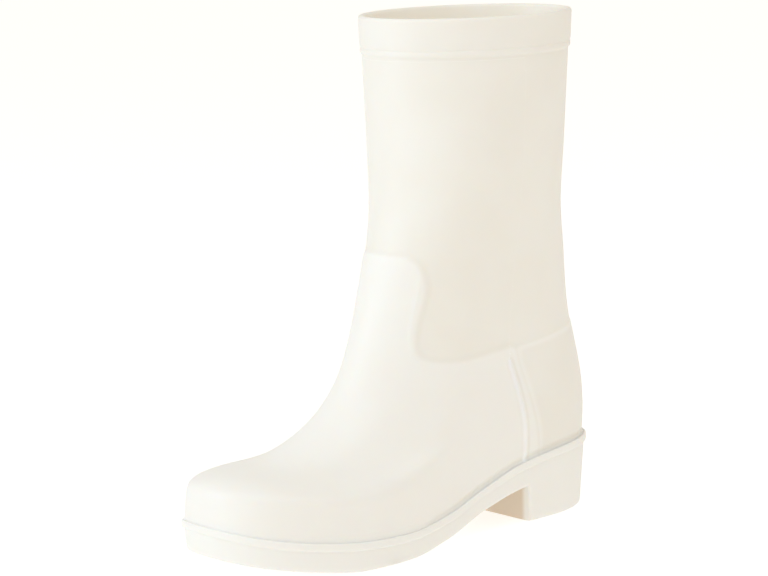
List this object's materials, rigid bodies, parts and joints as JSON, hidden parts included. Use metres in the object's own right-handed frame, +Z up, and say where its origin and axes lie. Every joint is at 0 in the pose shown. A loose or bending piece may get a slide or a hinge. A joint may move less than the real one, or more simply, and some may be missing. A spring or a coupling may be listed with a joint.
{
  "type": "rubber boot",
  "caption": "Left pull-on rubber boot with a rounded toe, a collar band, a stepped vamp and heel counter, a ledged sole, an arch and a block heel.",
  "frame": {"origin": "on the floor, under the middle of the boot's outer size", "axes": "+X points to the toe, +Y to the outer side of the foot, +Z up to the collar"},
  "size_m": [0.275, 0.1142, 0.302],
  "materials": {
    "upper_rubber": "satin ivory",
    "sole_rubber": "satin ivory, a little darker",
    "insole_cloth": "matt"
  },
  "bodies": {
    "root": {"upper": "upper_rubber", "outsole": "sole_rubber", "insole": "insole_cloth"}
  },
  "joints": []
}
